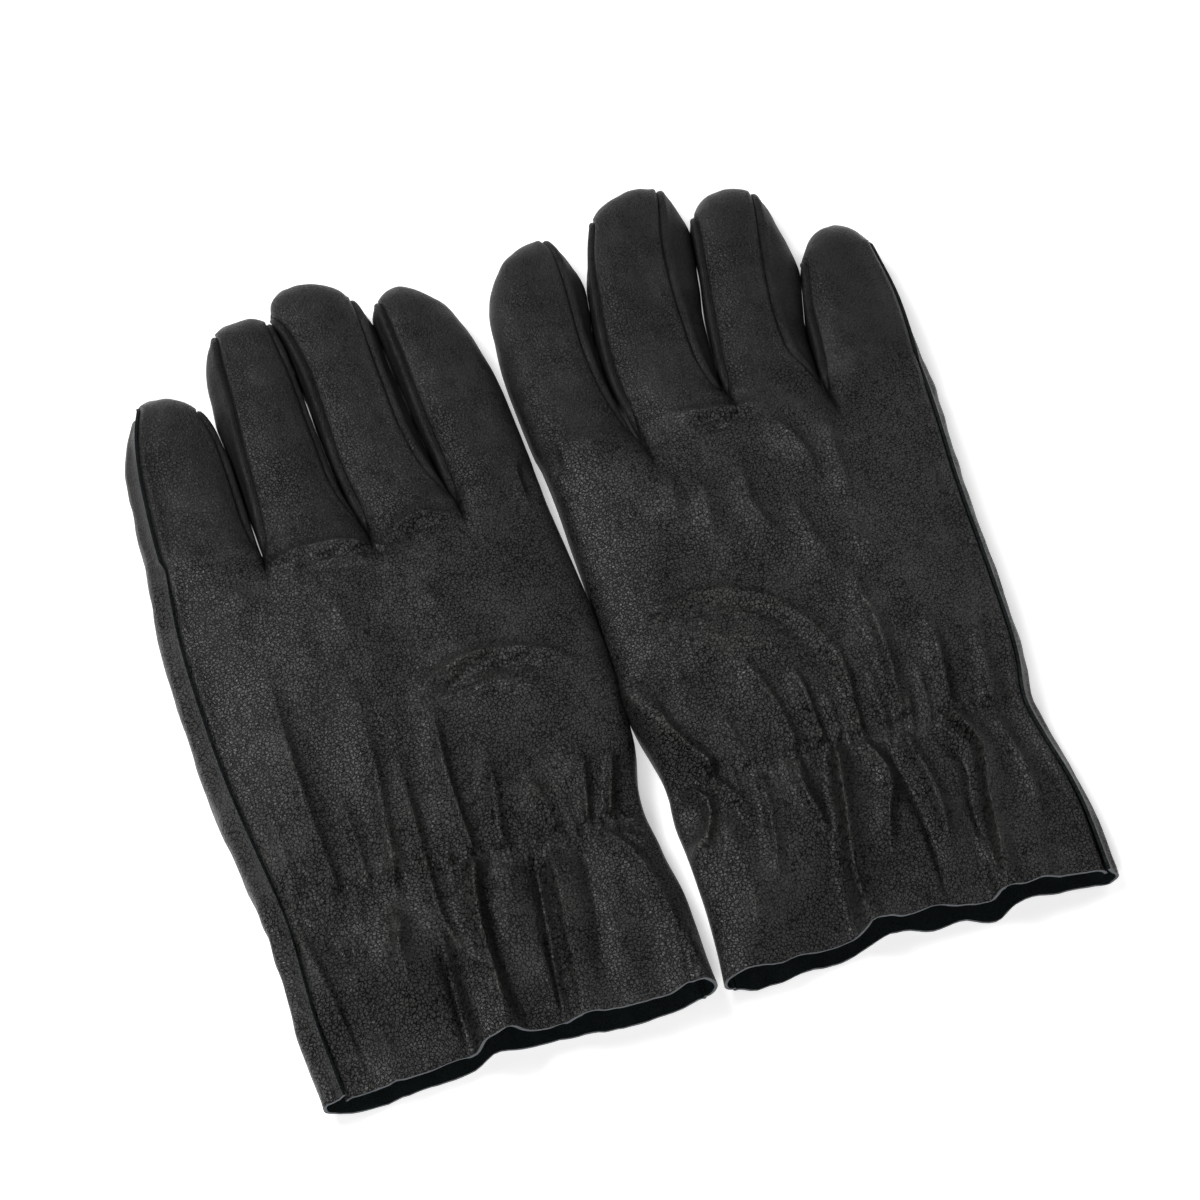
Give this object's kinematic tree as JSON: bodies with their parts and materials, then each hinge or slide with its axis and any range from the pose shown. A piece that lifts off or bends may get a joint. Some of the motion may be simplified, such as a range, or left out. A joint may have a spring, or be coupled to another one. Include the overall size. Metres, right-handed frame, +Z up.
{
  "type": "pair of riding gloves",
  "caption": "Pair of unlined leather gloves with gusseted fingers, a set-in thumb and a gathered elastic wrist, lying flat with backs up.",
  "frame": {"origin": "under the middle of the pair, on the surface the gloves lie on", "axes": "+Z up out of the backs of the hands, +Y from the cuffs to the fingertips, +X from the left glove to the right glove"},
  "size_m": [0.2392, 0.2572, 0.019],
  "materials": {
    "leather": "satin black, fine grain",
    "gusset_leather": "satin black, fine grain",
    "elastic_braid": "matt woven braid"
  },
  "bodies": {
    "left_glove": {"left_back_panel": "leather", "left_palm_panel": "leather", "left_wrist_elastic": "elastic_braid", "left_thumb_base": "leather"},
    "left_index": {"left_index_back": "leather", "left_index_palm": "leather", "left_index_gusset_little_side": "gusset_leather"},
    "left_middle": {"left_middle_back": "leather", "left_middle_palm": "leather", "left_middle_gusset_little_side": "gusset_leather", "left_middle_gusset_thumb_side": "gusset_leather"},
    "left_ring": {"left_ring_back": "leather", "left_ring_palm": "leather", "left_ring_gusset_little_side": "gusset_leather", "left_ring_gusset_thumb_side": "gusset_leather"},
    "left_little": {"left_little_back": "leather", "left_little_palm": "leather", "left_little_gusset_thumb_side": "gusset_leather"},
    "left_thumb": {"left_thumb_back": "leather", "left_thumb_front": "leather"},
    "right_glove": {"right_back_panel": "leather", "right_palm_panel": "leather", "right_wrist_elastic": "elastic_braid", "right_thumb_base": "leather"},
    "right_index": {"right_index_back": "leather", "right_index_palm": "leather", "right_index_gusset_little_side": "gusset_leather"},
    "right_middle": {"right_middle_back": "leather", "right_middle_palm": "leather", "right_middle_gusset_little_side": "gusset_leather", "right_middle_gusset_thumb_side": "gusset_leather"},
    "right_ring": {"right_ring_back": "leather", "right_ring_palm": "leather", "right_ring_gusset_little_side": "gusset_leather", "right_ring_gusset_thumb_side": "gusset_leather"},
    "right_little": {"right_little_back": "leather", "right_little_palm": "leather", "right_little_gusset_thumb_side": "gusset_leather"},
    "right_thumb": {"right_thumb_back": "leather", "right_thumb_front": "leather"}
  },
  "joints": [
    {"name": "left_index_flex", "type": "hinge", "parent": "left_glove", "child": "left_index", "pos_m": [-0.0141, 0.0374, 0.006], "axis": [-0.9933, -0.1154, 0], "range_deg": [-15, 75]},
    {"name": "left_middle_flex", "type": "hinge", "parent": "left_glove", "child": "left_middle", "pos_m": [-0.0402, 0.0364, 0.006], "axis": [-0.994, -0.1092, 0], "range_deg": [-15, 75]},
    {"name": "left_ring_flex", "type": "hinge", "parent": "left_glove", "child": "left_ring", "pos_m": [-0.0691, 0.0354, 0.006], "axis": [-0.998, -0.0628, 0], "range_deg": [-15, 75]},
    {"name": "left_little_flex", "type": "hinge", "parent": "left_glove", "child": "left_little", "pos_m": [-0.1013, 0.0354, 0.006], "axis": [-1, 0, 0], "range_deg": [-15, 75]},
    {"name": "left_thumb_unfold", "type": "hinge", "parent": "left_glove", "child": "left_thumb", "pos_m": [-0.0301, -0.0286, 0.0033], "axis": [-0.9781, -0.2079, 0], "range_deg": [0, 90]},
    {"name": "right_glove_apart", "type": "slide", "parent": "left_glove", "child": "right_glove", "axis": [1, 0, 0], "range_m": [0, 0.15]},
    {"name": "right_index_flex", "type": "hinge", "parent": "right_glove", "child": "right_index", "pos_m": [0.0146, 0.0414, 0.006], "axis": [-0.9992, 0.041, 0], "range_deg": [-15, 75]},
    {"name": "right_middle_flex", "type": "hinge", "parent": "right_glove", "child": "right_middle", "pos_m": [0.0447, 0.0474, 0.006], "axis": [-0.9969, 0.079, 0], "range_deg": [-15, 75]},
    {"name": "right_ring_flex", "type": "hinge", "parent": "right_glove", "child": "right_ring", "pos_m": [0.0738, 0.0474, 0.006], "axis": [-0.9951, 0.0988, 0], "range_deg": [-15, 75]},
    {"name": "right_little_flex", "type": "hinge", "parent": "right_glove", "child": "right_little", "pos_m": [0.1034, 0.0424, 0.006], "axis": [-0.9963, 0.0865, 0], "range_deg": [-15, 75]},
    {"name": "right_thumb_unfold", "type": "hinge", "parent": "right_glove", "child": "right_thumb", "pos_m": [0.0286, -0.0286, 0.0033], "axis": [-0.9781, 0.2079, 0], "range_deg": [0, 90]}
  ]
}
